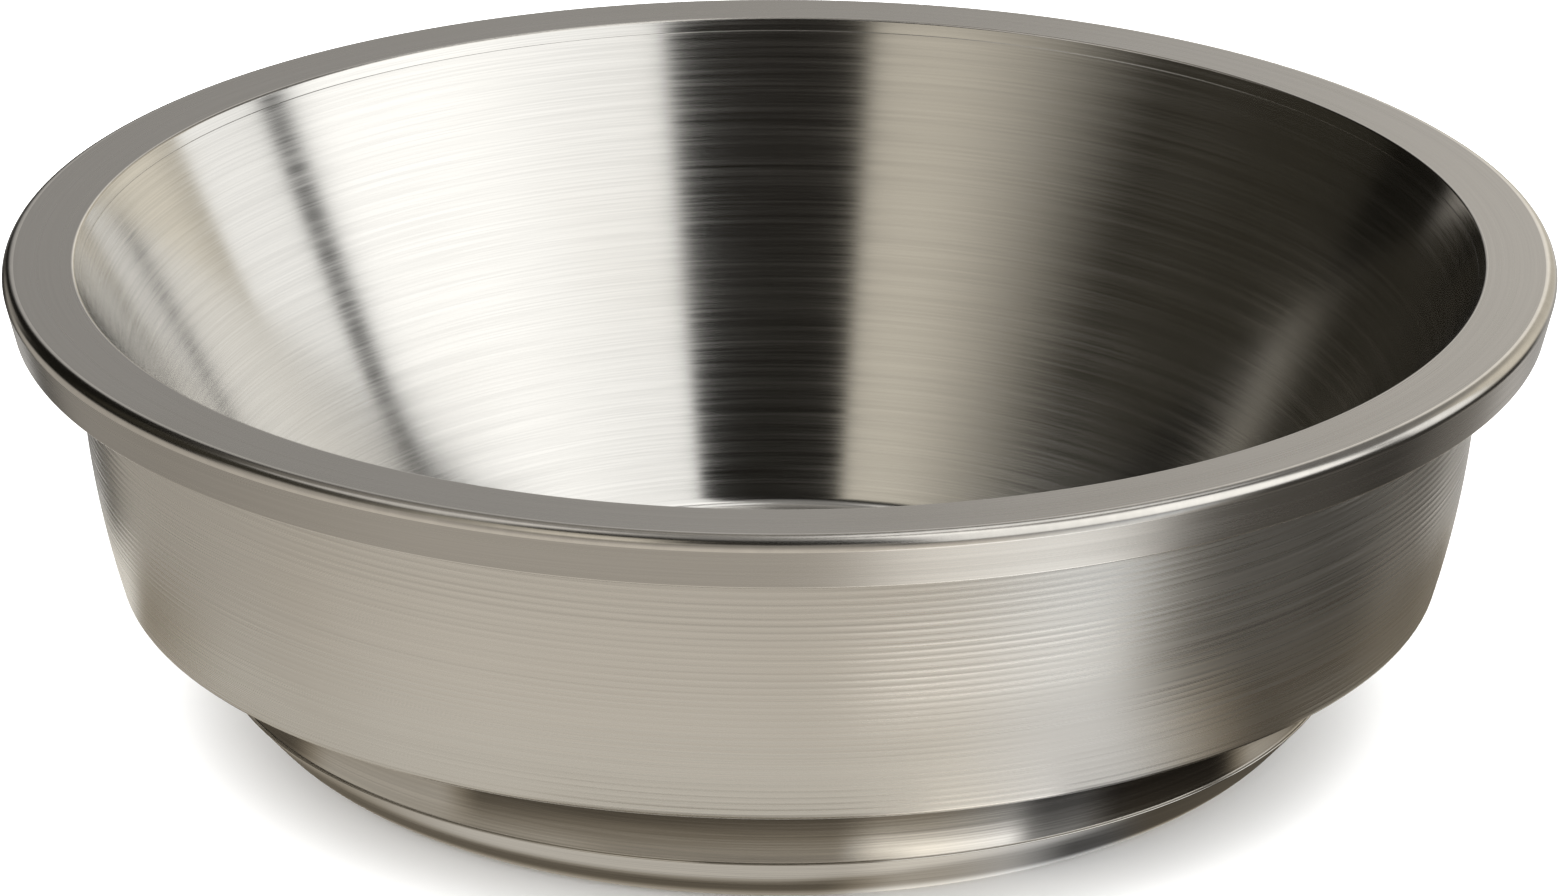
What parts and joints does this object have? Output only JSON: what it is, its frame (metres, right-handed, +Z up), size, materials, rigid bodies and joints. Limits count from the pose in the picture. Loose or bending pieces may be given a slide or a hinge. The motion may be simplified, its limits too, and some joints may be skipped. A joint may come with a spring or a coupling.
{
  "type": "shaving bowl",
  "caption": "Low round double-walled steel lathering bowl: heavy flat rim, steep conical inside, tapered outer wall and a coved foot with a tapered lip.",
  "frame": {"origin": "centre of the underside, on the surface that the bowl stands on", "axes": "+Z up along the bowl's axis of revolution; +Y towards the vent plug in the shoulder's underside"},
  "size_m": [0.0998, 0.0998, 0.031],
  "materials": {
    "rim_steel": "fine turned satin, slightly warm grey",
    "bowl_steel": "brushed round the axis, satin",
    "shell_steel": "satin with fine regular turning marks",
    "foot_steel": "turned satin",
    "weld_steel": "dressed weld metal, slightly darker",
    "plug_steel": "plain drawn wire stock, satin"
  },
  "bodies": {
    "root": {"rim_ring": "rim_steel", "inner_bowl": "bowl_steel", "outer_shell": "shell_steel", "foot_ring": "foot_steel", "rim_weld": "weld_steel", "shell_weld": "weld_steel", "foot_weld": "weld_steel", "floor_weld": "weld_steel", "vent_plug": "plug_steel"}
  },
  "joints": []
}
